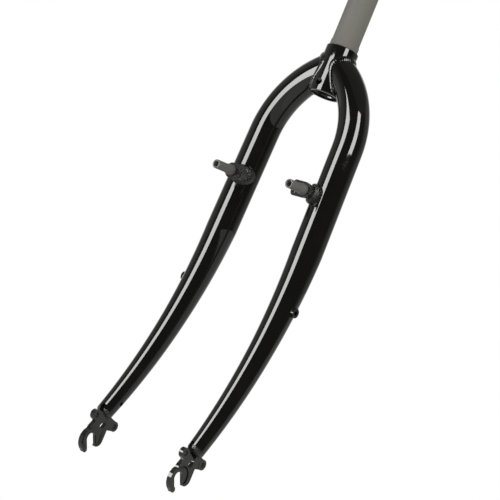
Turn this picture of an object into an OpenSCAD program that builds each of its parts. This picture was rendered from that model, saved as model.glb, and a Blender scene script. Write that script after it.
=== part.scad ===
// Rigid unicrown bicycle fork for a 26 inch wheel, with a 1 inch steerer.
// Millimetres. The origin is on the steerer axis at the top of the crown sleeve, where the crown race sits.
// Z is up along the steerer, the fork rakes forward to -Y, and the rider's left is +X.

/* [Steerer and sleeve] */
// Outside diameter of the steerer tube
steerer_d = 25.4; // [25.4, 25.5]
// Bore of the steerer tube, for a quill stem
steerer_bore_d = 22.2; // [21.8:0.1:22.4]
// Length of steerer that stands above the crown sleeve
steerer_len = 180; // [120:5:260]
// Diameter of the crown race seat
race_seat_d = 26.4; // [26.4, 27]
// Outside diameter of the crown sleeve
sleeve_d = 30; // [29.6:0.1:30.6]
// Length of the crown sleeve
sleeve_len = 44.5; // [44:0.5:47]
// Depth of the mudguard bolt hole below the top of the sleeve
bolt_depth = 36.7; // [33:0.1:37.5]
// Diameter of the mudguard bolt hole
bolt_d = 6.2; // [6:0.1:6.6]

/* [Blades] */
// Diameter of a blade before its taper
blade_d = 27.8; // [27:0.1:28.6]
// Diameter of a blade at its lower end
blade_tip_d = 15.6; // [15:0.1:17]
// Wall thickness of the blades
blade_wall = 1.6; // [1.2:0.1:2]
// Angle between the steerer and a blade where it leaves the sleeve
shoulder_angle = 54.75; // [53:0.25:57]
// Radius of the shoulder bend
shoulder_r = 84.5; // [82:0.5:87]
// Angle by which the straight of a blade spreads outward
spread_angle = 1.4; // [0:0.1:2]
// Length along a blade at which the rake bend starts
rake_start = 171; // [160:1:180]
// Radius of the rake bend
rake_r = 458; // [430:1:520]
// Length of a blade along its centre line
blade_len = 371; // [368:1:374]

/* [Brake studs] */
// Distance between the two brake studs
stud_spacing = 83; // [80:0.5:84]
// Depth of the stud roots below the top of the sleeve
stud_depth = 135.6; // [132:0.1:139]
// Angle by which the studs point down towards the front
stud_tilt = 6.5; // [0:0.5:8]
// Diameter of the pivot on a stud
pivot_d = 8; // [7.9:0.05:8]
// Length of the pivot on a stud
pivot_len = 14.5; // [14:0.5:16]

/* [Fork ends] */
// Distance between the inner faces of the fork ends
hub_gap = 100; // [99:0.5:101]
// Thickness of the fork end plates
plate_t = 3.9; // [3.5:0.1:4.4]
// Width of the axle slots
slot_w = 9.8; // [9.2:0.1:10.2]
// Angle of the axle slots from straight down, towards the rear
slot_angle = 33; // [28:1:38]

/* [Hidden] */

black = [0.08, 0.08, 0.07];
steel = [0.47, 0.45, 0.42];

// Hair gap between pieces that are brazed or welded together
gap = 0.05;
// Overlap with which one shape cuts through another
cut = 1;
round_fn = 96;
small_fn = 48;
blade_sides = 32;
bore_sides = 20;

steerer_r = steerer_d / 2;
sleeve_r = sleeve_d / 2;
race_seat_h = 6;
foot_bead = 1.5;
foot_belly = 0.7;
foot_up = 3.2;
edge_chamfer = 0.8;

blade_r = blade_d / 2;
tip_r = blade_tip_d / 2;
// Where the centre line of the left blade starts, inside the sleeve
blade_x = 11.3;
blade_z = -22.5;
// Forward lean of the blades above the rake bend
blade_lean = 0.75;
taper_start = rake_start + 4;
bend_len = shoulder_r * (shoulder_angle - spread_angle) * PI / 180;

// Angle of the centre line from straight down in the front view and in the side view
function side_angle(s) = s < bend_len ? shoulder_angle - s / shoulder_r * 180 / PI : spread_angle;
function front_angle(s) = s < rake_start ? blade_lean : blade_lean + (s - rake_start) / rake_r * 180 / PI;

// Point on the centre line of the left blade, a length s from its start
function bend_point(s) = let(f = side_angle(s), c = cos(blade_lean))
  [blade_x + c * shoulder_r * (cos(f) - cos(shoulder_angle)),
   -s * sin(blade_lean),
   blade_z - c * shoulder_r * (sin(shoulder_angle) - sin(f))];
function straight_point(s) = bend_point(bend_len) + (s - bend_len) * blade_dir(bend_len);
function rake_point(s) = let(t = front_angle(s),
    along = rake_r * (sin(t) - sin(blade_lean)),
    ahead = rake_r * (cos(blade_lean) - cos(t)))
  straight_point(rake_start) + [along * sin(spread_angle), -ahead, -along * cos(spread_angle)];
function blade_point(s) = s <= bend_len ? bend_point(s) : s <= rake_start ? straight_point(s) : rake_point(s);

// Direction of the centre line, and the outward and forward directions square to it
function blade_dir(s) = let(f = side_angle(s), t = front_angle(s)) [sin(f) * cos(t), -sin(t), -cos(f) * cos(t)];
function blade_out(s) = let(f = side_angle(s)) [cos(f), 0, sin(f)];
function blade_fore(s) = let(f = side_angle(s), t = front_angle(s)) [-sin(f) * sin(t), -cos(t), cos(f) * sin(t)];

// Radius of a blade along its length: full to the taper, then two straight tapers
taper_knee = 265;
knee_r = 10.9;
function blade_radius(s) = s < taper_start ? blade_r
  : s < taper_knee ? blade_r + (knee_r - blade_r) * (s - taper_start) / (taper_knee - taper_start)
  : knee_r + (tip_r - knee_r) * (s - taper_knee) / (blade_len - taper_knee);

// Point on the skin of the left blade, or off it by d
function skin_point(s, a, d = 0) = blade_point(s)
  + (blade_radius(s) + d) * (cos(a) * blade_out(s) + sin(a) * blade_fore(s));
function skin_ring(s, sides, d = 0) = [for (i = [0 : sides - 1]) skin_point(s, 360 * i / sides, d)];

// Solid swept through rings of equal length, capped at both ends or closed on itself
module sweep(rings, closed = false) {
  n = len(rings[0]);
  m = len(rings);
  points = [for (r = rings) each r];
  walls = [for (j = [0 : (closed ? m - 1 : m - 2)], i = [0 : n - 1])
    let(a = j * n + i, b = j * n + (i + 1) % n, c = ((j + 1) % m) * n + i, d = ((j + 1) % m) * n + (i + 1) % n)
    each [[a, c, b], [b, c, d]]];
  ends = closed ? [] : [[for (i = [0 : n - 1]) i], [for (i = [n - 1 : -1 : 0]) (m - 1) * n + i]];
  polyhedron(points = points, faces = concat(walls, ends), convexity = 6);
}

// Stations along a blade, close together only where it bends
root_in = 9;
// Length by which the bore is swept past both ends of the blade
bore_past = 0.5;
shoulder_steps = 16;
rake_steps = 22;
blade_stations = concat(
  [for (i = [0 : shoulder_steps]) -root_in + (bend_len + root_in) * i / shoulder_steps],
  [rake_start],
  [for (i = [1 : rake_steps]) rake_start + (blade_len - rake_start) * i / rake_steps]);

// Cylinder that runs from one point towards another direction
module rod(from, dir, h, r, fn = small_fn) {
  translate(from)
    rotate([0, acos(dir[2] / norm(dir)), atan2(dir[1], dir[0])])
      cylinder(r = r, h = h, $fn = fn);
}

// Carrier boss, on the outer side of a blade
rack_s = 227;
rack_head_r = 4.3;
rack_shank_r = 3.4;
rack_thread_r = 2.1;
rack_proud = 2.8;
rack_inside = 4;
// Gap between the boss' head and the blade, wide enough for the taper
saddle_gap = 0.22;
rack_centre = blade_point(rack_s);
rack_r = blade_radius(rack_s);

// Vent hole, on the inner side of a blade near its lower end
vent_s = 359;
vent_r = 2;
vent_dir = [-cos(15), sin(15), 0];

// Fork ends, seen from the side: the first number is Y, the second is Z
axle = [-55, -400.5];
front_eyelet = [-59.2, -380];
rear_eyelet = [-32.7, -384.4];
eyelet_r = 4.6;
eyelet_t = plate_t + 0.2;
eyelet_thread_r = 2.1;
neck = [-47.5, -383.5];
window_foot = [-47.8, -387.8];
window_head = [-45.9, -384.2];
front_neck_r = 7.5;
rear_neck_r = 7;
stem_top_r = 8.5;
stem_foot = axle + [2.5, 6.5];
stem_foot_r = 9;
window_foot_r = 2.6;
window_head_r = 1.9;
// Front arm: part of a disc, with a round tip that lies in the slot's own directions across and along
front_arm = axle + [0.8, -1.5];
front_arm_r = 11.3;
tip_across = -7.1;
tip_along = 8.3;
tip_round_r = 2.3;
// Rear arm: it ends in a round lobe
rear_arm = axle + [8.7, 0.7];
rear_arm_r = 6.2;
rear_stem_r = 7.5;
// The outer face is milled back round the axle's seat
seat = axle + [1, 1];
seat_r = 9.5;
seat_deep = 0.9;
// Small step between the plate's edge and what stands up from it
rim_step = 0.4;
// Tab of the plate that reaches into the blade, and the tab's foot in the plate
tab_w = 11;
tab_in = 12;
tab_foot = 6;
slot_past = 0.5;
// Depth of the slot across the whole mouth of the blade
mouth_in = 3;
// The hub's lock nut bears on a low round pad on the plate's inner face
pad_h = 0.5;
pad_r = 9.4;
pad_x = hub_gap / 2;
plate_x = pad_x + pad_h;
blade_end = blade_point(blade_len);
end_dir = blade_dir(blade_len);

// Brake stud: its root lies on the front of the blade, and its parts are measured along it from there
stud_root = [stud_spacing / 2, -14, -stud_depth];
stud_dir = [0, -cos(stud_tilt), -sin(stud_tilt)];
stud_up = [0, -sin(stud_tilt), cos(stud_tilt)];
boss_r = 6.3;
boss_back = -8;
boss_front = 16;
shank_back = 8;
spring_plate_t = 3;
spring_plate_r = 7;
spring_hole_at = 10.6;
spring_hole_r = 1.3;
spring_hole_rim = 1.8;
spring_angles = [158, 180, 202];
shank_r = 4.4;
collar_r = 4.9;
collar_len = 3.4;
// Cone between the collar and the pivot
flare_len = 4.6;
stud_thread_r = 2.5;
stud_thread_len = 13;
stud_chamfer = 0.5;
thread_mouth_r = 3.1;

// Weld beads
crown_bead = 2.6;
boss_bead = 3;
bead_gap = 0.14;
bead_belly = 0.3;
crown_stations = 60;
boss_stations = 40;
cap_len = 4.4;
// Below 1, the cap is fuller than a half ellipsoid
cap_fullness = 0.75;
cap_steps = 8;

function unit(v) = v / norm(v);
function flat(v) = [v[0], v[1], 0];

module blade() {
  color(black) difference() {
    sweep([for (s = blade_stations) skin_ring(s, blade_sides)]);
    sweep(concat([skin_ring(-root_in - bore_past, bore_sides, -blade_wall)],
      [for (i = [1 : len(blade_stations) - 2]) skin_ring(blade_stations[i], bore_sides, -blade_wall)],
      [skin_ring(blade_len + bore_past, bore_sides, -blade_wall)]));
    translate([0, 0, -2 * sleeve_len]) cylinder(r = sleeve_r, h = 3 * sleeve_len, $fn = round_fn);
    rod(rack_centre, [1, 0, 0], 2 * blade_r, rack_shank_r + gap);
    rod(blade_point(vent_s), vent_dir, 2 * blade_r, vent_r);
    plate_slot(tab_w + 4 * gap, tab_in + slot_past);
    plate_slot(4 * tip_r, mouth_in);
  }
}

// Puts a shape whose Z runs down the end of the blade, and whose X stays the fork's X, in its place
end_turn = atan2(-end_dir[1], end_dir[2]);
module at_blade_end() {
  translate([0, blade_end[1], blade_end[2]]) rotate([end_turn, 0, 0]) children();
}

// Room for a plate w wide that reaches h up from the end of the blade
module plate_slot(w, h) {
  at_blade_end() translate([plate_x - gap, -w / 2, -h]) cube([plate_t + 2 * gap, w, h + tip_r]);
}

module steerer_tube() {
  color(steel) difference() {
    union() {
      rotate_extrude($fn = round_fn) polygon([[0, -sleeve_len + foot_up], [steerer_r, -sleeve_len + foot_up],
        [steerer_r, steerer_len - edge_chamfer], [steerer_r - edge_chamfer, steerer_len], [0, steerer_len]]);
      cylinder(d = race_seat_d, h = race_seat_h, $fn = round_fn);
    }
    translate([0, 0, -sleeve_len]) cylinder(d = steerer_bore_d, h = sleeve_len + steerer_len + cut, $fn = round_fn);
    bolt_hole();
  }
}

// The mudguard bolt hole goes through from front to back
module bolt_hole() {
  translate([0, sleeve_d, -bolt_depth]) rotate([90, 0, 0]) cylinder(d = bolt_d, h = 2 * sleeve_d, $fn = small_fn);
}

module crown_sleeve() {
  bore_r = steerer_r + gap;
  color(black) difference() {
    rotate_extrude($fn = round_fn) polygon([[bore_r, 0], [sleeve_r - edge_chamfer, 0], [sleeve_r, -edge_chamfer],
      [sleeve_r, -sleeve_len + edge_chamfer], [sleeve_r - edge_chamfer, -sleeve_len], [bore_r, -sleeve_len]]);
    bolt_hole();
  }
}

module sleeve_weld() {
  top = -sleeve_len + foot_up - gap;
  color(black) rotate_extrude($fn = round_fn) polygon([[steerer_r, top], [steerer_r - foot_bead, top],
    [steerer_r - foot_belly * foot_bead, top - foot_belly * foot_bead], [steerer_r, top - foot_bead]]);
}

// Length along a blade at which its skin, at angle a, comes out of the sleeve
function cope_s(a, lo = -root_in, hi = 30, n = 24) = let(mid = (lo + hi) / 2)
  n == 0 ? mid
  : norm(flat(skin_point(mid, a))) < sleeve_r ? cope_s(a, mid, hi, n - 1) : cope_s(a, lo, mid, n - 1);

// Section of the crown bead at angle a round the blade: corner, toe on the sleeve, belly, toe on the blade
function crown_section(a) = let(
    s = cope_s(a),
    q = skin_point(s, a),
    out = unit(flat(q)),
    off = cos(a) * blade_out(s) + sin(a) * blade_fore(s),
    along = unit(off - (off * out) * out),
    t = q + crown_bead * along,
    toe = (sleeve_r + bead_gap) * unit(flat(t)) + [0, 0, max(t[2], edge_chamfer + bead_gap - sleeve_len)],
    shin = skin_point(s + crown_bead, a, bead_gap),
    belly = (toe + shin) / 2 + bead_belly * crown_bead * unit(out + off))
  [q + bead_gap * (out + off), toe, belly, shin];

module crown_weld() {
  color(black) sweep([for (i = [crown_stations - 1 : -1 : 0]) crown_section(360 * i / crown_stations)], closed = true);
}

// Puts a shape that stands on Z on the root of the stud
module at_stud() {
  translate(stud_root) rotate([90 + stud_tilt, 0, 0]) children();
}

module brake_boss() {
  color(black) difference() {
    at_stud() {
      translate([0, 0, boss_back]) cylinder(r = boss_r, h = boss_front - spring_plate_t - boss_back, $fn = round_fn);
      translate([0, 0, boss_front - spring_plate_t]) linear_extrude(spring_plate_t) hull() {
        circle(r = spring_plate_r, $fn = small_fn);
        for (a = spring_angles) rotate(a) translate([spring_hole_at, 0])
          circle(r = spring_hole_r + spring_hole_rim, $fn = 24);
      }
    }
    at_stud() {
      translate([0, 0, shank_back - gap]) cylinder(r = shank_r + gap, h = boss_front + cut, $fn = small_fn);
      for (a = spring_angles) rotate(a) translate([spring_hole_at, 0, 0])
        cylinder(r = spring_hole_r, h = boss_front + cut, $fn = 24);
    }
    rod(straight_point(bend_len), blade_dir(bend_len), rake_start - bend_len, blade_r + gap, round_fn);
  }
}

module brake_stud() {
  flare_at = boss_front + gap + collar_len;
  pivot_at = flare_at + flare_len;
  tip = pivot_at + pivot_len;
  pivot_r = pivot_d / 2;
  mouth = thread_mouth_r - stud_thread_r;
  color(steel) at_stud() difference() {
    rotate_extrude($fn = round_fn) polygon([[0, shank_back], [shank_r, shank_back], [shank_r, boss_front + gap],
      [collar_r, boss_front + gap], [collar_r, flare_at], [pivot_r, pivot_at],
      [pivot_r, tip - stud_chamfer], [pivot_r - stud_chamfer, tip], [0, tip]]);
    translate([0, 0, tip - stud_thread_len])
      cylinder(r = stud_thread_r, h = stud_thread_len + cut, $fn = small_fn);
    rotate_extrude($fn = small_fn) polygon([[0, tip - mouth], [stud_thread_r, tip - mouth],
      [thread_mouth_r, tip], [thread_mouth_r, tip + cut], [0, tip + cut]]);
  }
}

// How far along the stud the blade's skin lies, at angle a and distance r from the stud's axis
function boss_height(a, r) = let(
    t = blade_dir(bend_len),
    w = stud_root + r * boss_side(a) - straight_point(bend_len),
    across = w - (w * t) * t,
    go = stud_dir - (stud_dir * t) * t,
    half_b = across * go)
  (-half_b + sqrt(half_b * half_b - (go * go) * (across * across - blade_r * blade_r))) / (go * go);
function boss_side(a) = [cos(a), 0, 0] + sin(a) * stud_up;
function boss_point(a, r, lift) = stud_root + r * boss_side(a) + (boss_height(a, r) + lift) * stud_dir;

// Part of a point's offset from the blade's straight centre line that is square to the line
function off_line(p) = let(t = blade_dir(bend_len), w = p - straight_point(bend_len)) w - (w * t) * t;
function to_skin(p, lift) = let(w = off_line(p)) p + (blade_r + lift - norm(w)) * unit(w);

// Section of the bead round the boss: corner, toe on the blade, belly, toe on the boss
function boss_section(a) = let(
    q = boss_point(a, boss_r, 0),
    off = unit(off_line(q)),
    side = boss_side(a),
    along = unit(side - (side * off) * off),
    toe = to_skin(q + boss_bead * along, bead_gap),
    shin = q + bead_gap * side + boss_bead * stud_dir,
    belly = (toe + shin) / 2 + bead_belly * boss_bead * unit(side + off))
  [q + bead_gap * (side + off), toe, belly, shin];

module boss_weld() {
  color(black) sweep([for (i = [boss_stations - 1 : -1 : 0]) boss_section(360 * i / boss_stations)], closed = true);
}

module rack_boss() {
  color(black) difference() {
    rod(rack_centre, [1, 0, 0], rack_r + rack_proud, rack_head_r);
    rod(rack_centre - [cut, 0, 0], [1, 0, 0], rack_r + rack_proud + 2 * cut, rack_thread_r);
    difference() {
      rod(rack_centre - 20 * blade_dir(rack_s), blade_dir(rack_s), 40, rack_r + saddle_gap, round_fn);
      rod(rack_centre + [rack_r - rack_inside, 0, 0], [1, 0, 0], rack_inside + rack_proud, rack_shank_r);
    }
  }
}

// Round corner of the fork end's outline
module spot(at, r) {
  translate(at) circle(r = r, $fn = small_fn);
}

// Puts a shape drawn across and along the slot in its place, with the slot's mouth at -Y
module at_slot() {
  translate(axle) rotate(slot_angle) children();
}

// Open slot whose round seat, of radius r, is a hair wider than its mouth
module axle_slot(r) {
  spot(axle, r);
  at_slot() translate([gap - r, -3 * seat_r]) square([2 * (r - gap), 3 * seat_r]);
}

// Half plane beyond a length h along the slot
module beyond(h) {
  at_slot() translate([-3 * seat_r, -h - 3 * seat_r]) square([6 * seat_r, 3 * seat_r]);
}

module dropout_outline() {
  difference() {
    union() {
      difference() {
        spot(front_arm, front_arm_r);
        beyond(tip_along);
      }
      at_slot() translate([tip_across, -tip_along]) circle(r = tip_round_r, $fn = small_fn);
      hull() { spot(front_eyelet, eyelet_r - rim_step); spot(neck, front_neck_r); }
      hull() { spot(rear_eyelet, eyelet_r - rim_step); spot(neck, rear_neck_r); }
      hull() { spot(neck, stem_top_r); spot(stem_foot, stem_foot_r); }
      hull() { spot(neck, rear_stem_r); spot(rear_arm, rear_arm_r); }
    }
    axle_slot(slot_w / 2);
    hull() { spot(window_foot, window_foot_r); spot(window_head, window_head_r); }
  }
}

// Lays an outline drawn in Y and Z against the plate's inner face, t thick
module upright(x, t) {
  translate([x, 0, 0]) rotate([90, 0, 90]) linear_extrude(t) children();
}

module dropout() {
  color(black) difference() {
    union() {
      upright(plate_x, plate_t) dropout_outline();
      at_blade_end() translate([plate_x, -tab_w / 2, -tab_in]) cube([plate_t, tab_w, tab_in + tab_foot]);
      for (e = [front_eyelet, rear_eyelet])
        translate([plate_x, e[0], e[1]]) rotate([0, 90, 0]) cylinder(r = eyelet_r, h = eyelet_t, $fn = small_fn);
      upright(pad_x, pad_h + gap) difference() {
        spot(axle, pad_r);
        axle_slot(slot_w / 2 + rim_step);
        beyond(tip_along - rim_step);
      }
    }
    for (e = [front_eyelet, rear_eyelet])
      translate([plate_x - cut, e[0], e[1]]) rotate([0, 90, 0])
        cylinder(r = eyelet_thread_r, h = eyelet_t + 2 * cut, $fn = small_fn);
    upright(plate_x + plate_t - seat_deep, seat_deep + cut) spot(seat, seat_r);
  }
}

// Domed cap of weld that closes the end of the blade on both sides of the plate
module dropout_weld() {
  color(black) difference() {
    translate(blade_end) rotate([0, acos(end_dir[2]), atan2(end_dir[1], end_dir[0])])
      rotate_extrude($fn = round_fn) polygon(concat([[0, gap]],
        [for (i = [0 : cap_steps]) let(a = 90 * i / cap_steps)
          [i == cap_steps ? 0 : tip_r * pow(cos(a), cap_fullness), gap + cap_len * sin(a)]]));
    plate_slot(4 * tip_r, tab_in);
  }
}

module right() {
  mirror([1, 0, 0]) children();
}

steerer_tube();
crown_sleeve();
sleeve_weld();
blade();  // left_blade
right() blade();  // right_blade
crown_weld();  // left_crown_weld
right() crown_weld();  // right_crown_weld
brake_boss();  // left_brake_boss
right() brake_boss();  // right_brake_boss
boss_weld();  // left_boss_weld
right() boss_weld();  // right_boss_weld
brake_stud();  // left_brake_stud
right() brake_stud();  // right_brake_stud
rack_boss();  // left_rack_boss
right() rack_boss();  // right_rack_boss
dropout();  // left_dropout
right() dropout();  // right_dropout
dropout_weld();  // left_dropout_weld
right() dropout_weld();  // right_dropout_weld
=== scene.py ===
"""Looks of a rigid unicrown bicycle fork: glossy black blades on a bare steel steerer, in a white studio."""
import math

import bmesh
import bpy
from mathutils import Matrix, Vector


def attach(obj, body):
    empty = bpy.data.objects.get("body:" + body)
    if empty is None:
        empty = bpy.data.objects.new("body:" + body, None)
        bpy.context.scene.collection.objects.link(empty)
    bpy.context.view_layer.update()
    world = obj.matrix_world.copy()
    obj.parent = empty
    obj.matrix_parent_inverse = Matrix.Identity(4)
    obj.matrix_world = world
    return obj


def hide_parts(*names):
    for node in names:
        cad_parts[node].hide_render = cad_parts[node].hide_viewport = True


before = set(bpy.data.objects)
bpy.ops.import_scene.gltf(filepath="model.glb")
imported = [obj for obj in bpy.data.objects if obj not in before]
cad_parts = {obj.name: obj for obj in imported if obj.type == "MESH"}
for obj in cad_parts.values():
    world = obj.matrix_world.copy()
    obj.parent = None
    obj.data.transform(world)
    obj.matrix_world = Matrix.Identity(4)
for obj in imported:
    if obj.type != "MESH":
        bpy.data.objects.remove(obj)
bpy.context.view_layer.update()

# The fork's lengths are in millimetres, and MM turns them into the frame's metres. The studio is in metres.
MM = 0.001

# Sleeve and steerer
SLEEVE_R = 15.0
SLEEVE_LEN = 44.5
SLEEVE_RIM = 0.9
SLEEVE_SIDES = 128
STEERER_R = 12.7
BOLT_DEPTH = 36.7
BOLT_R = 3.1

# Gap between pieces that a weld joins
HAIR = 0.05

# Centre line of the left blade: shoulder bend, straight, rake bend
START_X = 11.3
START_Z = -22.5
SHOULDER_ANGLE = math.radians(54.75)
SPREAD_ANGLE = math.radians(1.4)
BLADE_LEAN = math.radians(0.75)
SHOULDER_R = 84.5
BEND_LEN = SHOULDER_R * (SHOULDER_ANGLE - SPREAD_ANGLE)
RAKE_START = 171.0
RAKE_R = 458.0
BLADE_LEN = 371.0

# The blade's tube: radius at its top, at the knee of its taper and at its tip
BLADE_R = 13.9
KNEE_R = 10.9
TIP_R = 7.8
TAPER_START = 175.0
TAPER_KNEE = 265.0
BLADE_WALL = 1.6
BLADE_SIDES = 72

# Stretch of the blade in which it comes out of the sleeve, and how often the search halves it
COPE_RANGE = (-9.0, 30.0)
COPE_HALVINGS = 30

# Holes in the blade
RACK_S = 227.0
RACK_HOLE_R = 3.45
VENT_S = 359.0
VENT_R = 2.0
VENT_RIM = 1.0
VENT_SIDES = 40
VENT_DIR = Vector((-math.cos(math.radians(15)), math.sin(math.radians(15)), 0.0))

# The fork end's plate, and the slots for it in the blade's end as width and depth: one for the tab that lies
# inside the blade and one right across the blade's mouth
PLATE_INNER_X = 50.5
PLATE_T = 3.9
TAB_SLOT = (11.2, 12.5)
MOUTH_SLOT = (4 * TIP_R, 3.0)

# Threaded eyelets of the fork ends, as Y and Z of their axes
EYELETS = ((-59.2, -380.0), (-32.7, -384.4))
THREAD_R = 2.5
THREAD_DULLNESS = 0.7

# Brake studs
STUD_ROOT = Vector((41.5, -14.0, -135.6))
STUD_TILT = math.radians(6.5)
STUD_DIR = Vector((0.0, -math.cos(STUD_TILT), -math.sin(STUD_TILT)))
STUD_UP = Vector((0.0, -math.sin(STUD_TILT), math.cos(STUD_TILT)))
BOSS_R = 6.3


# Shape of the left blade; s is a length along its centre line

def side_angle(s):
    """Slope of the centre line seen from the front."""
    return SHOULDER_ANGLE - s / SHOULDER_R if s < BEND_LEN else SPREAD_ANGLE


def front_angle(s):
    """Slope of the centre line seen from the side."""
    return BLADE_LEAN if s < RAKE_START else BLADE_LEAN + (s - RAKE_START) / RAKE_R


def bend_point(s):
    f = side_angle(s)
    reach = math.cos(BLADE_LEAN) * SHOULDER_R
    return Vector((START_X + reach * (math.cos(f) - math.cos(SHOULDER_ANGLE)),
                   -s * math.sin(BLADE_LEAN),
                   START_Z - reach * (math.sin(SHOULDER_ANGLE) - math.sin(f))))


def straight_point(s):
    return bend_point(BEND_LEN) + (s - BEND_LEN) * blade_dir(BEND_LEN)


def rake_point(s):
    t = front_angle(s)
    along = RAKE_R * (math.sin(t) - math.sin(BLADE_LEAN))
    ahead = RAKE_R * (math.cos(BLADE_LEAN) - math.cos(t))
    step = Vector((along * math.sin(SPREAD_ANGLE), -ahead, -along * math.cos(SPREAD_ANGLE)))
    return straight_point(RAKE_START) + step


def blade_point(s):
    """Point on the centre line."""
    if s <= BEND_LEN:
        return bend_point(s)
    return straight_point(s) if s <= RAKE_START else rake_point(s)


def blade_dir(s):
    """Direction of the centre line, down towards the fork end."""
    f, t = side_angle(s), front_angle(s)
    return Vector((math.sin(f) * math.cos(t), -math.sin(t), -math.cos(f) * math.cos(t)))


def blade_out(s):
    """Direction square to the centre line, away from the other blade."""
    f = side_angle(s)
    return Vector((math.cos(f), 0.0, math.sin(f)))


def blade_fore(s):
    """Direction square to the centre line, to the front of the fork."""
    f, t = side_angle(s), front_angle(s)
    return Vector((-math.sin(f) * math.sin(t), -math.cos(t), math.cos(f) * math.sin(t)))


def blade_radius(s):
    if s < TAPER_START:
        return BLADE_R
    if s < TAPER_KNEE:
        return BLADE_R + (KNEE_R - BLADE_R) * (s - TAPER_START) / (TAPER_KNEE - TAPER_START)
    return KNEE_R + (TIP_R - KNEE_R) * (s - TAPER_KNEE) / (BLADE_LEN - TAPER_KNEE)


def skin_dir(s, a):
    """Direction from the centre line to the skin at angle a round it."""
    return math.cos(a) * blade_out(s) + math.sin(a) * blade_fore(s)


def skin_point(s, a, lift=0.0):
    """Point on the skin at angle a round it, or lift off it."""
    return blade_point(s) + (blade_radius(s) + lift) * skin_dir(s, a)


def cope_s(a):
    """Length along the blade at which its skin, at angle a, comes out of the sleeve."""
    low, high = COPE_RANGE
    for _ in range(COPE_HALVINGS):
        middle = (low + high) / 2
        if skin_point(middle, a).xy.length < SLEEVE_R + HAIR:
            low = middle
        else:
            high = middle
    return low


def off_line(p):
    """Offset of a point from the blade's straight stretch, square to it."""
    t = blade_dir(BEND_LEN)
    w = p - straight_point(BEND_LEN)
    return w - (w @ t) * t


# Mesh helpers; angles are in degrees

MERGE_DIST = 0.001
FLAT_ANGLE = 0.5
ROUND_SIDES = 48
SHARP_ANGLE = 35.0
BEAD_SHARP_ANGLE = 80.0
ROUNDED_ANGLE = 32.0
ROUNDED_STEPS = 3


def finished(bm, name, sharp=SHARP_ANGLE):
    """Turns a bmesh in millimetres into an object in metres, smooth but for edges sharper than the angle."""
    bmesh.ops.scale(bm, vec=(MM, MM, MM), verts=bm.verts)
    mesh = bpy.data.meshes.new(name)
    bm.to_mesh(mesh)
    bm.free()
    mesh.shade_smooth()
    mesh.set_sharp_from_angle(angle=math.radians(sharp))
    piece = bpy.data.objects.new(name, mesh)
    bpy.context.scene.collection.objects.link(piece)
    return piece


def in_millimetres(mesh):
    """A bmesh in millimetres from a mesh in metres."""
    bm = bmesh.new()
    bm.from_mesh(mesh)
    bmesh.ops.scale(bm, vec=(1 / MM,) * 3, verts=bm.verts)
    return bm


def mirrored(bm):
    """A copy of the bmesh on the other side of the fork, with its faces outward again."""
    other = bm.copy()
    bmesh.ops.scale(other, vec=(-1, 1, 1), verts=other.verts)
    bmesh.ops.reverse_faces(other, faces=other.faces)
    return other


def swept(rings, sides, closed=False):
    """Extrudes a circle of edges from ring to ring; each ring is a function of the angle round it."""
    bm = bmesh.new()
    around = bm.verts.layers.float.new("around")
    verts = bmesh.ops.create_circle(bm, segments=sides, radius=1.0)["verts"]
    for v in verts:
        v[around] = math.atan2(v.co.y, v.co.x)
        v.co = rings[0](v[around])
    first = list(bm.edges)
    edges = first
    for ring in rings[1:]:
        made = bmesh.ops.extrude_edge_only(bm, edges=edges)["geom"]
        verts = {g for g in made if isinstance(g, bmesh.types.BMVert)}
        edges = [g for g in made if isinstance(g, bmesh.types.BMEdge) and verts.issuperset(g.verts)]
        for v in verts:
            v.co = ring(v[around])
    if closed:
        bmesh.ops.bridge_loops(bm, edges=first + edges)
    bmesh.ops.recalc_face_normals(bm, faces=bm.faces)
    return bm


def turned(profile, steps):
    """Spins a closed profile, drawn in X and Z, once round the Z axis."""
    bm = bmesh.new()
    verts = [bm.verts.new((r, 0.0, z)) for r, z in profile]
    edges = [bm.edges.new((a, b)) for a, b in zip(verts, verts[1:] + verts[:1])]
    bmesh.ops.spin(bm, geom=verts + edges, cent=(0, 0, 0), axis=(0, 0, 1), dvec=(0, 0, 0),
                   angle=2 * math.pi, steps=steps, use_merge=True)
    bmesh.ops.remove_doubles(bm, verts=bm.verts, dist=MERGE_DIST)
    bmesh.ops.recalc_face_normals(bm, faces=bm.faces)
    return bm


def towards(start, direction):
    """Matrix that puts Z along a direction, at a start point."""
    return Matrix.Translation(start) @ direction.to_track_quat("Z", "Y").to_matrix().to_4x4()


def rod(bm, start, direction, length, radius, sides=ROUND_SIDES):
    """Adds a capped cylinder from a point along a direction."""
    bmesh.ops.create_cone(bm, cap_ends=True, segments=sides, radius1=radius, radius2=radius, depth=length,
                          matrix=towards(start + direction * length / 2, direction))


def less(bm, cutter):
    """The bmesh with the cutter's volume taken away."""
    body = finished(bm, "body_to_cut")
    tool = finished(cutter, "cutting_tool")
    cut = body.modifiers.new("cut", "BOOLEAN")
    cut.operation = "DIFFERENCE"
    cut.solver = "EXACT"
    cut.object = tool
    graph = bpy.context.evaluated_depsgraph_get()
    out = in_millimetres(body.evaluated_get(graph).to_mesh())
    for used in (body, tool):
        mesh = used.data
        bpy.data.objects.remove(used)
        bpy.data.meshes.remove(mesh)
    return out


def copy_of(node):
    """A merged copy of a CAD node's mesh, with its flat faces whole."""
    bm = in_millimetres(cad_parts[node].data)
    bmesh.ops.remove_doubles(bm, verts=bm.verts, dist=MERGE_DIST)
    bmesh.ops.dissolve_limit(bm, angle_limit=math.radians(FLAT_ANGLE), verts=bm.verts, edges=bm.edges)
    return bm


def rounded(piece, width):
    """Rounds the piece's sharp edges, as its coat of paint does."""
    bevel = piece.modifiers.new("soft_edges", "BEVEL")
    bevel.width = width * MM
    bevel.segments = ROUNDED_STEPS
    bevel.limit_method = "ANGLE"
    bevel.angle_limit = math.radians(ROUNDED_ANGLE)
    bevel.use_clamp_overlap = True
    bevel.harden_normals = True


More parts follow.
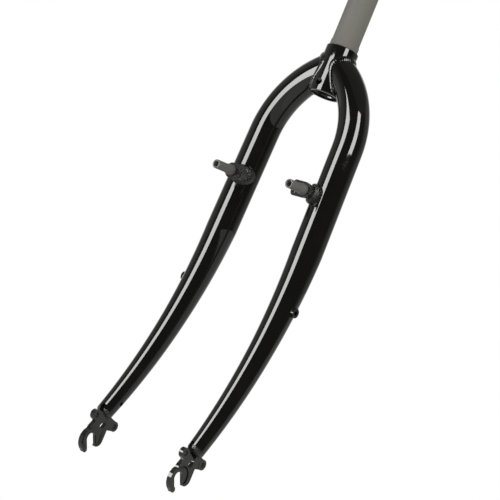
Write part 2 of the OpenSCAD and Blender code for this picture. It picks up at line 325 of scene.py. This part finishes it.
def fitted(piece, slot, material, *nodes):
    """Gives a piece its material and lets it stand for its CAD nodes."""
    piece.data.materials.clear()
    piece.data.materials.append(material)
    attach(piece, "root")
    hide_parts(*nodes)


def both_sides(bm, name, slot, material, sharp=SHARP_ANGLE, bevel=0.0):
    """Makes the left piece and its mirror image, each standing for the CAD node of its side."""
    other = mirrored(bm)
    for side, shape in (("left_", bm), ("right_", other)):
        piece = finished(shape, side + name + "_skin", sharp)
        if bevel:
            rounded(piece, bevel)
        fitted(piece, slot, material, side + name)


# Shader helpers

class Tree:
    """A node tree, with short ways to add the nodes that the materials are made of."""

    def __init__(self, tree):
        self.nodes = tree.nodes
        self.links = tree.links

    def put(self, value, socket):
        """Links an output to a socket, or gives the socket a constant."""
        if isinstance(value, bpy.types.NodeSocket):
            self.links.new(value, socket)
        else:
            socket.default_value = value

    def noise(self, vector, scale, detail=3.0, rough=0.5):
        """Cloudy pattern, mostly between 0.3 and 0.7."""
        node = self.nodes.new("ShaderNodeTexNoise")
        for label, value in (("Vector", vector), ("Scale", scale), ("Detail", detail), ("Roughness", rough)):
            self.put(value, node.inputs[label])
        return node.outputs["Fac"]

    def between(self, value, low, high, out_low=0.0, out_high=1.0, ramp="SMOOTHSTEP"):
        """Ramp from out_low, where the value is low, to out_high, where it is high."""
        node = self.nodes.new("ShaderNodeMapRange")
        node.interpolation_type = ramp
        ends = (("From Min", low), ("From Max", high), ("To Min", out_low), ("To Max", out_high))
        for label, number in (("Value", value), *ends):
            self.put(number, node.inputs[label])
        return node.outputs["Result"]

    def maths(self, operation, a, b):
        """Result of an operation on two numbers."""
        node = self.nodes.new("ShaderNodeMath")
        node.operation = operation
        for value, socket in zip((a, b), node.inputs):
            self.put(value, socket)
        return node.outputs[0]

    def plus(self, a, b):
        return self.maths("ADD", a, b)

    def minus(self, a, b):
        return self.maths("SUBTRACT", a, b)

    def times(self, a, b):
        return self.maths("MULTIPLY", a, b)

    def vector(self, operation, a, b, result="Vector"):
        """Result of an operation on two vectors."""
        node = self.nodes.new("ShaderNodeVectorMath")
        node.operation = operation
        for value, socket in zip((a, b), node.inputs):
            self.put(value, socket)
        return node.outputs[result]

    def mixed(self, factor, a, b):
        """Colour between a and b."""
        node = self.nodes.new("ShaderNodeMix")
        node.data_type = "RGBA"
        for label, value in (("Factor", factor), ("A", a), ("B", b)):
            self.put(value, next(s for s in node.inputs if s.name == label and s.enabled))
        return next(s for s in node.outputs if s.enabled)

    def bump(self, shader, height, strength, distance):
        """Bumps the shader's surface by a height."""
        node = self.nodes.new("ShaderNodeBump")
        for label, value in (("Strength", strength), ("Distance", distance), ("Height", height)):
            self.put(value, node.inputs[label])
        self.put(node.outputs["Normal"], shader.inputs["Normal"])

    def use(self, group, **values):
        """Places a shader group, with its inputs by name, and gives its outputs."""
        node = self.nodes.new("ShaderNodeGroup")
        node.node_tree = group
        for label, value in values.items():
            self.put(value, node.inputs[label.replace("_", " ")])
        return node.outputs


def new_group(name, numbers, results):
    """Shader group of a vector and numbers, with its tree, its inputs and the sockets for its results."""
    group = bpy.data.node_groups.new(name, "ShaderNodeTree")
    group.interface.new_socket(name="Vector", in_out="INPUT", socket_type="NodeSocketVector")
    for label in numbers:
        group.interface.new_socket(name=label, in_out="INPUT", socket_type="NodeSocketFloat")
    for label in results:
        group.interface.new_socket(name=label, in_out="OUTPUT", socket_type="NodeSocketFloat")
    tree = Tree(group)
    given = tree.nodes.new("NodeGroupInput").outputs
    return group, tree, given, tree.nodes.new("NodeGroupOutput").inputs


def new_material(name):
    """Material with its tree, its shader and the object coordinates."""
    material = bpy.data.materials.new(name)
    material.use_nodes = True
    tree = Tree(material.node_tree)
    coords = tree.nodes.new("ShaderNodeTexCoord").outputs["Object"]
    return material, tree, tree.nodes["Principled BSDF"], coords


# Black enamel; scales are in waves a metre, and a range is where a mask begins and where it is full

PAINT = (0.0068, 0.0066, 0.0056, 1.0)
PAINT_WARM = (0.0084, 0.0078, 0.0062, 1.0)
FORGED_PAINT = (0.015, 0.0148, 0.0135, 1.0)
THIN_PAINT = (0.03, 0.028, 0.024, 1.0)
DUST = (0.16, 0.15, 0.13, 1.0)
DUST_DULLNESS = 0.5
HAZE_DULLNESS = 0.035
ENAMEL_IOR = 1.5
PEEL_DEPTH = 0.0003
WAVE_SCALE = 45.0
WAVE_SHARE = 0.8
SPECK_SCALE = 1500.0
SPECK_RANGE = (0.66, 0.74)
DRIFT_SCALE = 30.0
DRIFT_RANGE = (0.45, 0.7)
RIDGE_RANGE = (0.53, 0.62)
BREAK_SCALE = 700.0
BREAK_RANGE = (0.35, 0.65)


def film_group():
    """Paint film: fine orange peel, slow thickness waves and a little settled dust."""
    group, tree, given, results = new_group("paint_film", ("Peel Scale", "Peel", "Dust"),
                                            ("Height", "Dust Mask", "Haze"))
    vector = given["Vector"]
    peel = tree.noise(vector, given["Peel Scale"], detail=2.0, rough=0.4)
    waves = tree.noise(vector, WAVE_SCALE, detail=2.0)
    specks = tree.between(tree.noise(vector, SPECK_SCALE, detail=1.0), *SPECK_RANGE)
    drift = tree.between(tree.noise(vector, DRIFT_SCALE, detail=4.0), *DRIFT_RANGE)
    height = tree.plus(tree.times(peel, given["Peel"]), tree.times(waves, WAVE_SHARE))
    dust = tree.times(tree.times(specks, drift), given["Dust"])
    for label, value in (("Height", height), ("Dust Mask", dust), ("Haze", drift)):
        tree.put(value, results[label])
    return group


def edge_group():
    """Mask of thin paint on edges, from how much the surface bulges."""
    group, tree, given, results = new_group("thin_edges", ("Amount",), ("Mask",))
    shape = tree.nodes.new("ShaderNodeNewGeometry").outputs["Pointiness"]
    ridge = tree.between(shape, *RIDGE_RANGE)
    broken = tree.between(tree.noise(given["Vector"], BREAK_SCALE, detail=4.0), *BREAK_RANGE)
    tree.put(tree.times(ridge, tree.times(broken, given["Amount"])), results["Mask"])
    return group


def near_axis(tree, coords, axis, amount):
    """The amount inside a threaded hole that runs from side to side at a given Y and Z; nothing outside."""
    across = tree.vector("MULTIPLY", coords, (0, 1, 1))
    gap = tree.vector("DISTANCE", across, (0, axis[0] * MM, axis[1] * MM), result="Value")
    return tree.times(tree.maths("LESS_THAN", gap, THREAD_R * MM), amount)


def black_enamel(name, film, edges, peel=0.2, peel_scale=300.0, dust=0.06, rough=0.03, bump=0.05, wear=0.2,
                 tone=PAINT, threads=()):
    """Glossy black stove enamel with peel, faint dust and thinner paint on edges; dull in the threads."""
    material, tree, shader, coords = new_material(name)
    coat = tree.use(film, Vector=coords, Peel=peel, Peel_Scale=peel_scale, Dust=dust)
    thin = tree.use(edges, Vector=coords, Amount=wear)
    base = tree.mixed(coat["Haze"], tone, PAINT_WARM)
    base = tree.mixed(thin["Mask"], base, THIN_PAINT)
    base = tree.mixed(coat["Dust Mask"], base, DUST)
    haze = tree.between(coat["Haze"], 0.0, 1.0, rough, rough + HAZE_DULLNESS)
    dull = tree.plus(haze, tree.times(coat["Dust Mask"], DUST_DULLNESS))
    for axis in threads:
        dull = tree.plus(dull, near_axis(tree, coords, axis, THREAD_DULLNESS))
    tree.put(base, shader.inputs["Base Color"])
    tree.put(dull, shader.inputs["Roughness"])
    shader.inputs["IOR"].default_value = ENAMEL_IOR
    tree.bump(shader, coat["Height"], bump, PEEL_DEPTH)
    return material


# Bare steel, with scales and ranges as above; a pair of tones is the pale and the dark of the mill clouds

TUBE_TONES = ((0.16, 0.15, 0.126, 1.0), (0.143, 0.134, 0.112, 1.0))
STUD_TONES = ((0.13, 0.126, 0.115, 1.0), (0.1, 0.096, 0.088, 1.0))
LINE_SCALE = 900.0
LINE_STRETCH = (1.0, 1.0, 0.03)
CLOUD_SCALE = 35.0
CLOUD_RANGE = (0.3, 0.7)
MILL_RANGE = (0.25, 0.75)
PIT_SCALE = 1100.0
PIT_RANGE = (0.64, 0.74)
PIT_SHARE = 0.6
PALER = 1.18
DEEPER = 0.6
SMOOTHER = 0.06
ROUGHER = 0.08
GRAIN_BUMP = 0.25
GRAIN_DEPTH = 0.00012

# Black paint on the steerer's foot: where it ends in Z, how wide its edge is and its roughness
PAINT_TOP = -0.02
PAINT_EDGE = 0.001
FOOT_PAINT_ROUGH = 0.25


def grain_group():
    """Drawn steel: fine lines along the tube, cloudy mill tone and small pits."""
    group, tree, given, results = new_group("steel_grain", (), ("Lines", "Clouds", "Pits"))
    vector = given["Vector"]
    stretch = tree.nodes.new("ShaderNodeMapping")
    tree.put(vector, stretch.inputs["Vector"])
    tree.put(LINE_STRETCH, stretch.inputs["Scale"])
    lines = tree.noise(stretch.outputs["Vector"], LINE_SCALE)
    clouds = tree.noise(vector, CLOUD_SCALE, detail=5.0, rough=0.6)
    pits = tree.between(tree.noise(vector, PIT_SCALE, detail=2.0), *PIT_RANGE)
    for label, value in (("Lines", lines), ("Clouds", clouds), ("Pits", pits)):
        tree.put(value, results[label])
    return group


def scaled(tone, factor):
    """A colour made paler or deeper."""
    return tuple(c * factor for c in tone[:3]) + (1.0,)


def bare_steel(name, grain, tones, rough, metallic, line, painted_below=None):
    """Bare drawn steel with a grey mill finish; below a height, in metres, the fork's paint covers it."""
    tone, dark = tones
    material, tree, shader, coords = new_material(name)
    drawn = tree.use(grain, Vector=coords)
    base = tree.mixed(tree.between(drawn["Clouds"], *CLOUD_RANGE), dark, tone)
    base = tree.mixed(tree.times(drawn["Lines"], line), base, scaled(tone, PALER))
    base = tree.mixed(tree.times(drawn["Pits"], PIT_SHARE), base, scaled(dark, DEEPER))
    dull = tree.between(drawn["Clouds"], *MILL_RANGE, rough - SMOOTHER, rough + ROUGHER)
    metal = metallic
    if painted_below is not None:
        place = tree.nodes.new("ShaderNodeSeparateXYZ")
        tree.put(coords, place.inputs[0])
        paint = tree.between(place.outputs["Z"], painted_below - PAINT_EDGE, painted_below, 1.0, 0.0)
        base = tree.mixed(paint, base, PAINT)
        metal = tree.times(tree.minus(1.0, paint), metallic)
        dull = tree.minus(dull, tree.times(paint, rough - FOOT_PAINT_ROUGH))
    tree.put(base, shader.inputs["Base Color"])
    tree.put(metal, shader.inputs["Metallic"])
    tree.put(dull, shader.inputs["Roughness"])
    tree.bump(shader, tree.minus(drawn["Lines"], drawn["Pits"]), GRAIN_BUMP, GRAIN_DEPTH)
    return material


def make_finishes():
    """All finishes of the fork by name."""
    film, edges, grain = film_group(), edge_group(), grain_group()
    return {
        "enamel": black_enamel("black_enamel", film, edges),
        "weld": black_enamel("black_enamel_on_weld", film, edges, peel=1.0, peel_scale=1100.0,
                             rough=0.12, bump=0.35, wear=0.3),
        "rough_weld": black_enamel("black_enamel_on_rough_weld", film, edges, peel=1.6, peel_scale=1300.0,
                                   rough=0.1, bump=1.0, wear=0.3),
        "forging": black_enamel("black_enamel_on_forging", film, edges, peel=0.4, dust=0.02, rough=0.06,
                                bump=0.08, wear=0.1, tone=FORGED_PAINT, threads=EYELETS),
        "tube_steel": bare_steel("bare_tube_steel", grain, TUBE_TONES, rough=0.8, metallic=0.05, line=0.15,
                                 painted_below=PAINT_TOP),
        "stud_steel": bare_steel("bare_stud_steel", grain, STUD_TONES, rough=0.5, metallic=0.2, line=0.35),
    }


# Blade and sleeve

def blade_cutter():
    """What is taken out of a blade's side: the vent and the carrier boss' hole."""
    bm = bmesh.new()
    rod(bm, blade_point(VENT_S), VENT_DIR, 2 * BLADE_R, VENT_R, VENT_SIDES)
    rod(bm, blade_point(RACK_S), Vector((1, 0, 0)), 2 * BLADE_R, RACK_HOLE_R)
    return bm


def vent_rim():
    """Shallow cone that rounds off the vent hole's rim at the blade's skin."""
    bm = bmesh.new()
    skin = blade_point(VENT_S) + VENT_DIR * blade_radius(VENT_S)
    bmesh.ops.create_cone(bm, cap_ends=True, segments=VENT_SIDES, radius1=VENT_R - VENT_RIM,
                          radius2=VENT_R + VENT_RIM, depth=2 * VENT_RIM, matrix=towards(skin, VENT_DIR))
    return bm


def end_slot(width, depth):
    """Box round the fork end's plate, up the open end of the blade."""
    bm = bmesh.new()
    end = blade_point(BLADE_LEN)
    lie = Matrix.Rotation(math.atan2(-blade_dir(BLADE_LEN).y, blade_dir(BLADE_LEN).z), 4, "X")
    place = Matrix.Translation((0, end.y, end.z)) @ lie
    middle = Matrix.Translation((PLATE_INNER_X + PLATE_T / 2, 0, (TIP_R - depth) / 2))
    size = Matrix.Diagonal((PLATE_T + 2 * HAIR, width, depth + TIP_R, 1))
    bmesh.ops.create_cube(bm, size=1.0, matrix=place @ middle @ size)
    return bm


def blade_rings():
    """Rings of the blade's skin: from the cope to a plain ring, then along shoulder, straight and rake."""
    cope = 14
    shoulder = 18
    straight = 12
    rake = 56
    plain = 31.0

    def coped(k):
        def ring(a):
            start = cope_s(a)
            return skin_point(start + (plain - start) * k / cope, a)
        return ring

    def station(s):
        return lambda a: skin_point(s, a)

    rings = [coped(k) for k in range(cope)]
    rings += [station(plain + (BEND_LEN - plain) * k / shoulder) for k in range(shoulder)]
    rings += [station(BEND_LEN + (RAKE_START - BEND_LEN) * k / straight) for k in range(straight)]
    rings += [station(RAKE_START + (BLADE_LEN - RAKE_START) * k / rake) for k in range(rake + 1)]
    return rings


def blade():
    """Bent and tapered tube, coped to the sleeve, with its wall, holes and slots."""
    bm = swept(blade_rings(), BLADE_SIDES)
    bmesh.ops.solidify(bm, geom=bm.faces[:], thickness=BLADE_WALL)
    for cutter in (blade_cutter(), vent_rim(), end_slot(*TAB_SLOT), end_slot(*MOUTH_SLOT)):
        bm = less(bm, cutter)
    return bm


def sleeve():
    """Crown sleeve: a turned ring with rounded rims and the mudguard bolt's hole."""
    bore = STEERER_R + HAIR
    shoulder = SLEEVE_R - SLEEVE_RIM
    arc = [math.radians(a) for a in range(0, 91, 15)]
    profile = [(bore, 0.0)]
    profile += [(shoulder + SLEEVE_RIM * math.sin(a), -SLEEVE_RIM + SLEEVE_RIM * math.cos(a)) for a in arc]
    profile += [(shoulder + SLEEVE_RIM * math.cos(a), -SLEEVE_LEN + SLEEVE_RIM - SLEEVE_RIM * math.sin(a))
                for a in arc]
    profile += [(bore, -SLEEVE_LEN)]
    cutter = bmesh.new()
    rod(cutter, Vector((0, 2 * SLEEVE_R, -BOLT_DEPTH)), Vector((0, -1, 0)), 4 * SLEEVE_R, BOLT_R)
    return less(turned(profile, SLEEVE_SIDES), cutter)


# Weld beads; a ring of a bead is its swelling face from toe to shin, then its back past the root's corner

FACE_SHARE = 0.75

# Height of a bead's edges over the metal below, and how far the crown bead stays above the sleeve's mouth
BEAD_LIFT = 0.14
MOUTH_GAP = 0.95


def bead_ring(toe, shin, corner, belly):
    """One ring of a weld bead; belly gives its face's swell at a share of the way from toe to shin."""
    def point(u):
        share = (u / (2 * math.pi)) % 1.0
        if share < FACE_SHARE:
            w = share / FACE_SHARE
            return toe.lerp(shin, w) + belly(w)
        w = (share - FACE_SHARE) / (1 - FACE_SHARE)
        return shin.lerp(corner, 2 * w) if w < 0.5 else corner.lerp(toe, 2 * w - 1)
    return point


def crown_bead():
    """Rippled weld bead that follows the cope between blade and sleeve."""
    ripples = 44
    per_ripple = 6
    reach = 2.5
    fullness = 0.198
    ripple_swell, slow_swell, quick_swell = 0.09, 0.06, 0.04
    slow_waves, slow_start, quick_waves = 5, 1.0, 11
    stations = ripples * per_ripple

    def ring(k):
        a = 2 * math.pi * k / stations
        slow = slow_swell * math.sin(slow_waves * a + slow_start)
        quick = quick_swell * math.sin(quick_waves * a)
        swell = (1.0 + ripple_swell * abs(math.sin(math.pi * k / per_ripple))) * (1.0 + slow + quick)
        s = cope_s(a)
        root = skin_point(s, a)
        out = Vector((root.x, root.y, 0)).normalized()
        off = skin_dir(s, a)
        along = (off - (off @ out) * out).normalized()
        toe = root + reach * swell * along
        flat = Vector((toe.x, toe.y, 0)).normalized() * (SLEEVE_R + BEAD_LIFT)
        toe = Vector((flat.x, flat.y, max(toe.z, MOUTH_GAP - SLEEVE_LEN)))
        shin = skin_point(s + reach * swell, a, BEAD_LIFT)
        corner = root + BEAD_LIFT * (out + off)
        bulge = fullness * reach * swell * (out + off).normalized()
        return bead_ring(toe, shin, corner, lambda w: bulge * math.sin(math.pi * w))

    return swept([ring(k) for k in range(stations)], sides=16, closed=True)


def boss_side(a):
    """Direction off the brake stud's axis at angle a round it."""
    return Vector((math.cos(a), 0, 0)) + math.sin(a) * STUD_UP


def boss_point(a):
    """Point at angle a round the brake boss, where its barrel meets the blade's skin."""
    foot = STUD_ROOT + BOSS_R * boss_side(a)
    across = off_line(foot)
    t = blade_dir(BEND_LEN)
    go = STUD_DIR - (STUD_DIR @ t) * t
    half = across @ go
    height = (-half + math.sqrt(half * half - (go @ go) * (across @ across - BLADE_R ** 2))) / (go @ go)
    return foot + height * STUD_DIR


def boss_bead():
    """Rough weld all round the brake boss, out on the blade's skin and up the boss' barrel."""
    ripples = 20
    per_ripple = 7
    reach = 3.0
    climb = 6.8
    steady_climb = 0.6
    fullness = 0.28
    ripple_swell, slow_swell = 0.13, 0.07
    slow_waves, slow_start = 3, 0.6
    lump, lump_turn = 0.16, 2.3
    knob, knob_turn, knob_waves = 0.1, 0.9, 5
    stations = ripples * per_ripple

    def ring(k):
        a = 2 * math.pi * k / stations
        swell = 1.0 + ripple_swell * abs(math.sin(math.pi * k / per_ripple))
        swell += slow_swell * math.sin(slow_waves * a + slow_start)
        root = boss_point(a)
        off = off_line(root).normalized()
        side = boss_side(a)
        along = (side - (side @ off) * off).normalized()
        toe = root + reach * swell * along
        from_line = off_line(toe)
        toe += (BLADE_R + BEAD_LIFT - from_line.length) * from_line.normalized()
        shin = root + BEAD_LIFT * side + climb * (steady_climb + (1 - steady_climb) * swell) * STUD_DIR
        corner = root + BEAD_LIFT * (side + off)
        bulge = fullness * reach * swell * (side + off).normalized()

        def belly(w):
            lumps = 1.0 + lump * math.sin(lump_turn * k) * math.sin(4 * math.pi * w)
            lumps += knob * math.sin(knob_turn * k + knob_waves * w)
            return bulge * math.sin(math.pi * w) * lumps
        return bead_ring(toe, shin, corner, belly)

    return swept([ring(k) for k in range(stations)], sides=28, closed=True)


# Pieces

# Those that keep their CAD shape and get rounded edges: name, slot, finish, width of the rounding
ROUNDED_PIECES = (
    ("dropout", "black_paint", "forging", 0.8),
    ("dropout_weld", "black_paint", "rough_weld", 0.4),
    ("brake_boss", "black_paint", "forging", 0.45),
    ("rack_boss", "black_paint", "enamel", 0.3),
    ("brake_stud", "bare_steel", "stud_steel", 0.15),
)

# CAD nodes that are shown as they are, with their finish
PLAIN_NODES = {"steerer_tube": "tube_steel", "sleeve_weld": "weld"}


def make_pieces():
    finishes = make_finishes()
    both_sides(blade(), "blade", "black_paint", finishes["enamel"])
    both_sides(crown_bead(), "crown_weld", "black_paint", finishes["weld"], sharp=BEAD_SHARP_ANGLE)
    both_sides(boss_bead(), "boss_weld", "black_paint", finishes["rough_weld"], sharp=BEAD_SHARP_ANGLE)
    piece = finished(sleeve(), "crown_sleeve_skin")
    fitted(piece, "black_paint", finishes["enamel"], "crown_sleeve")
    for name, slot, finish, width in ROUNDED_PIECES:
        both_sides(copy_of("left_" + name), name, slot, finishes[finish], bevel=width)
    for node, finish in PLAIN_NODES.items():
        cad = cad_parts[node]
        cad.data.materials.clear()
        cad.data.materials.append(finishes[finish])


# Camera, fitted to the photograph: angles in degrees, depth in millimetres. The anchor is the point of the
# steerer's axis that the picture shows at ANCHOR_ACROSS and ANCHOR_DOWN, in pixels from its top left corner.

CAMERA_AZIMUTH = 38.704
CAMERA_ELEVATION = -6.269
CAMERA_ROLL = 22.278
CAMERA_DEPTH = 1405.229
FOCAL_PIXELS = 1576.662
PICTURE_PIXELS = 500.0
ANCHOR = Vector((0.0, 0.0, 2.5))
ANCHOR_ACROSS = 343.797
ANCHOR_DOWN = 47.743
SENSOR_WIDTH = 36.0
CLIP_START = 0.05
CLIP_END = 50.0


def heading(azimuth, elevation=0.0):
    """Direction from the fork; azimuth 0 is in front of it and 90 on the rider's left."""
    a, e = math.radians(azimuth), math.radians(elevation)
    return Vector((math.sin(a) * math.cos(e), -math.cos(a) * math.cos(e), math.sin(e)))


def camera():
    """Camera at the photograph's viewing angle, a little below the crown and rolled."""
    azimuth, roll = math.radians(CAMERA_AZIMUTH), math.radians(CAMERA_ROLL)
    back = heading(CAMERA_AZIMUTH, CAMERA_ELEVATION)
    level = Vector((math.cos(azimuth), math.sin(azimuth), 0))
    upright = back.cross(level)
    right = level * math.cos(roll) + upright * math.sin(roll)
    up = upright * math.cos(roll) - level * math.sin(roll)
    across = (ANCHOR_ACROSS - PICTURE_PIXELS / 2) * CAMERA_DEPTH / FOCAL_PIXELS
    down = (ANCHOR_DOWN - PICTURE_PIXELS / 2) * CAMERA_DEPTH / FOCAL_PIXELS
    place = ANCHOR - (right * across - up * down - back * CAMERA_DEPTH)
    data = bpy.data.cameras.new("camera")
    data.sensor_width = SENSOR_WIDTH
    data.lens = SENSOR_WIDTH * FOCAL_PIXELS / PICTURE_PIXELS
    data.clip_start = CLIP_START
    data.clip_end = CLIP_END
    view = bpy.data.objects.new("camera", data)
    turn = Matrix((right, up, back)).transposed().to_4x4()
    view.matrix_world = Matrix.Translation(place * MM) @ turn
    bpy.context.scene.collection.objects.link(view)
    bpy.context.scene.camera = view


# Studio, in metres

AIM = Vector((0.0, -0.012, -0.16))

# Upright light panels near the fork: azimuth, distance, foot, head, width
SOFTBOXES = {
    "front_softbox": (-14.0, 0.5, -0.45, 0.15, 0.25),
    "low_front_softbox": (-30.0, 0.52, -0.45, -0.2, 0.09),
    "side_softbox": (65.5, 0.6, 0.045, 0.53, 0.26),
}
SOFTBOX_RADIANCE = 13.0

FILL_AZIMUTH = 55.0
FILL_ELEVATION = 20.0
FILL_DISTANCE = 2.2
FILL_SIZE = 1.6
FILL_RADIANCE = 1.0

# Curved screens: foot, head, tone in the middle, tone at the two ends
SCREENS = {
    "dark_drape": (0.0, 3.2, 0.03, 0.34),
    "pale_wall": (-1.4, 0.0, 0.6, 0.6),
}
SCREEN_MIDDLE = 42.0
SCREEN_ANGLE = 290.0
SCREEN_STEPS = 58
SCREEN_R = 3.0
SCREEN_FADE = (0.3, -0.12)

CEILING_Z = 3.2
CEILING_R = 3.4
CEILING_GLOW = 0.14
FLOOR_Z = -0.78
FLOOR_R = 2.2
FLOOR_TONES = (0.78, 0.82)
FLOOR_CLOUD_SCALE = 3.0
FLOOR_ROUGH = 0.9
FLOOR_GLOW = 0.55
WHITE = (1.0, 1.0, 1.0, 1.0)
WORLD_FILL = 0.75


def lamp(name, place, back, width, height, radiance):
    """Rectangular lamp whose face has the given brightness; back points from what it lights to the lamp."""
    light = bpy.data.lights.new(name, "AREA")
    light.shape = "RECTANGLE"
    light.size = width
    light.size_y = height
    light.energy = radiance * math.pi * width * height
    fixture = bpy.data.objects.new(name, light)
    fixture.location = place
    fixture.rotation_mode = "QUATERNION"
    fixture.rotation_quaternion = back.to_track_quat("Z", "Y")
    fixture.visible_camera = False
    bpy.context.scene.collection.objects.link(fixture)
    return fixture


def softbox(name, azimuth, distance, low, high, width):
    """Upright light panel from one height to another; only gloss sees it."""
    back = heading(azimuth)
    place = back * distance + Vector((0.0, 0.0, (low + high) / 2))
    lamp(name, place, back, width, high - low, SOFTBOX_RADIANCE).visible_diffuse = False


def soft_fill():
    """Large soft lamp that gloss doesn't see."""
    back = heading(FILL_AZIMUTH, FILL_ELEVATION)
    place = AIM + back * FILL_DISTANCE
    lamp("soft_fill", place, back, FILL_SIZE, FILL_SIZE, FILL_RADIANCE).visible_glossy = False


def stage_mesh(bm, name, material):
    """Object of the studio with its material."""
    mesh = bpy.data.meshes.new(name)
    bm.to_mesh(mesh)
    bm.free()
    mesh.materials.append(material)
    item = bpy.data.objects.new(name, mesh)
    bpy.context.scene.collection.objects.link(item)
    return item


def glow_card(bm, name):
    """Stage card that only gloss sees; gives its material's tree and the socket for its brightness."""
    material = bpy.data.materials.new(name)
    material.use_nodes = True
    tree = Tree(material.node_tree)
    tree.nodes.remove(tree.nodes["Principled BSDF"])
    face = tree.nodes.new("ShaderNodeEmission")
    tree.put(face.outputs[0], tree.nodes["Material Output"].inputs["Surface"])
    card = stage_mesh(bm, name, material)
    card.visible_camera = False
    card.visible_diffuse = False
    card.visible_shadow = False
    card.visible_transmission = False
    return tree, face.inputs["Strength"]


def screen(name, low, high, middle_tone, end_tone):
    """Curved screen round the camera's side of the studio, changing in tone towards its two ends."""
    bm = bmesh.new()
    start = SCREEN_R * heading(SCREEN_MIDDLE - SCREEN_ANGLE / 2)
    verts = [bm.verts.new(start + Vector((0, 0, z))) for z in (low, high)]
    edge = bm.edges.new(verts)
    bmesh.ops.spin(bm, geom=[*verts, edge], cent=(0, 0, 0), axis=(0, 0, 1), angle=math.radians(SCREEN_ANGLE),
                   steps=SCREEN_STEPS, use_merge=False)
    tree, strength = glow_card(bm, name)
    coords = tree.nodes.new("ShaderNodeTexCoord").outputs["Object"]
    facing = tree.vector("DOT_PRODUCT", coords, heading(SCREEN_MIDDLE) / SCREEN_R, result="Value")
    tree.put(tree.between(facing, *SCREEN_FADE, middle_tone, end_tone, ramp="LINEAR"), strength)


def ceiling():
    """Dim ceiling over the fork."""
    bm = bmesh.new()
    bmesh.ops.create_circle(bm, cap_ends=True, segments=64, radius=CEILING_R,
                            matrix=Matrix.Translation((0, 0, CEILING_Z)))
    _, strength = glow_card(bm, "dim_ceiling")
    strength.default_value = CEILING_GLOW


def floor():
    """Pale floor well below the fork, which hangs free."""
    bm = bmesh.new()
    bmesh.ops.create_circle(bm, cap_ends=True, segments=96, radius=FLOOR_R,
                            matrix=Matrix.Translation((0, 0, FLOOR_Z)))
    material, tree, shader, coords = new_material("pale_floor")
    clouds = tree.noise(coords, FLOOR_CLOUD_SCALE)
    seen = tree.nodes.new("ShaderNodeLightPath").outputs["Is Camera Ray"]
    tree.put(tree.between(clouds, *CLOUD_RANGE, *FLOOR_TONES), shader.inputs["Base Color"])
    tree.put(FLOOR_ROUGH, shader.inputs["Roughness"])
    tree.put(WHITE, shader.inputs["Emission Color"])
    tree.put(tree.times(seen, FLOOR_GLOW), shader.inputs["Emission Strength"])
    ground = stage_mesh(bm, "studio_floor", material)


def white_world():
    """White to the camera, to gloss and through glass; a softer level for the light on the fork."""
    world = bpy.data.worlds.new("white_studio")
    world.use_nodes = True
    bpy.context.scene.world = world
    tree = Tree(world.node_tree)
    path = tree.nodes.new("ShaderNodeLightPath").outputs
    seen = tree.maths("MAXIMUM", path["Is Camera Ray"], path["Is Glossy Ray"])
    seen = tree.maths("MAXIMUM", seen, path["Is Transmission Ray"])
    background = tree.nodes["Background"]
    tree.put(WHITE, background.inputs["Color"])
    tree.put(tree.between(seen, 0.0, 1.0, WORLD_FILL, 1.0), background.inputs["Strength"])


def studio():
    white_world()
    floor()
    for name, panel in SOFTBOXES.items():
        softbox(name, *panel)
    soft_fill()
    for name, cloth in SCREENS.items():
        screen(name, *cloth)
    ceiling()


make_pieces()
camera()
studio()
bpy.context.scene.view_settings.view_transform = "Standard"
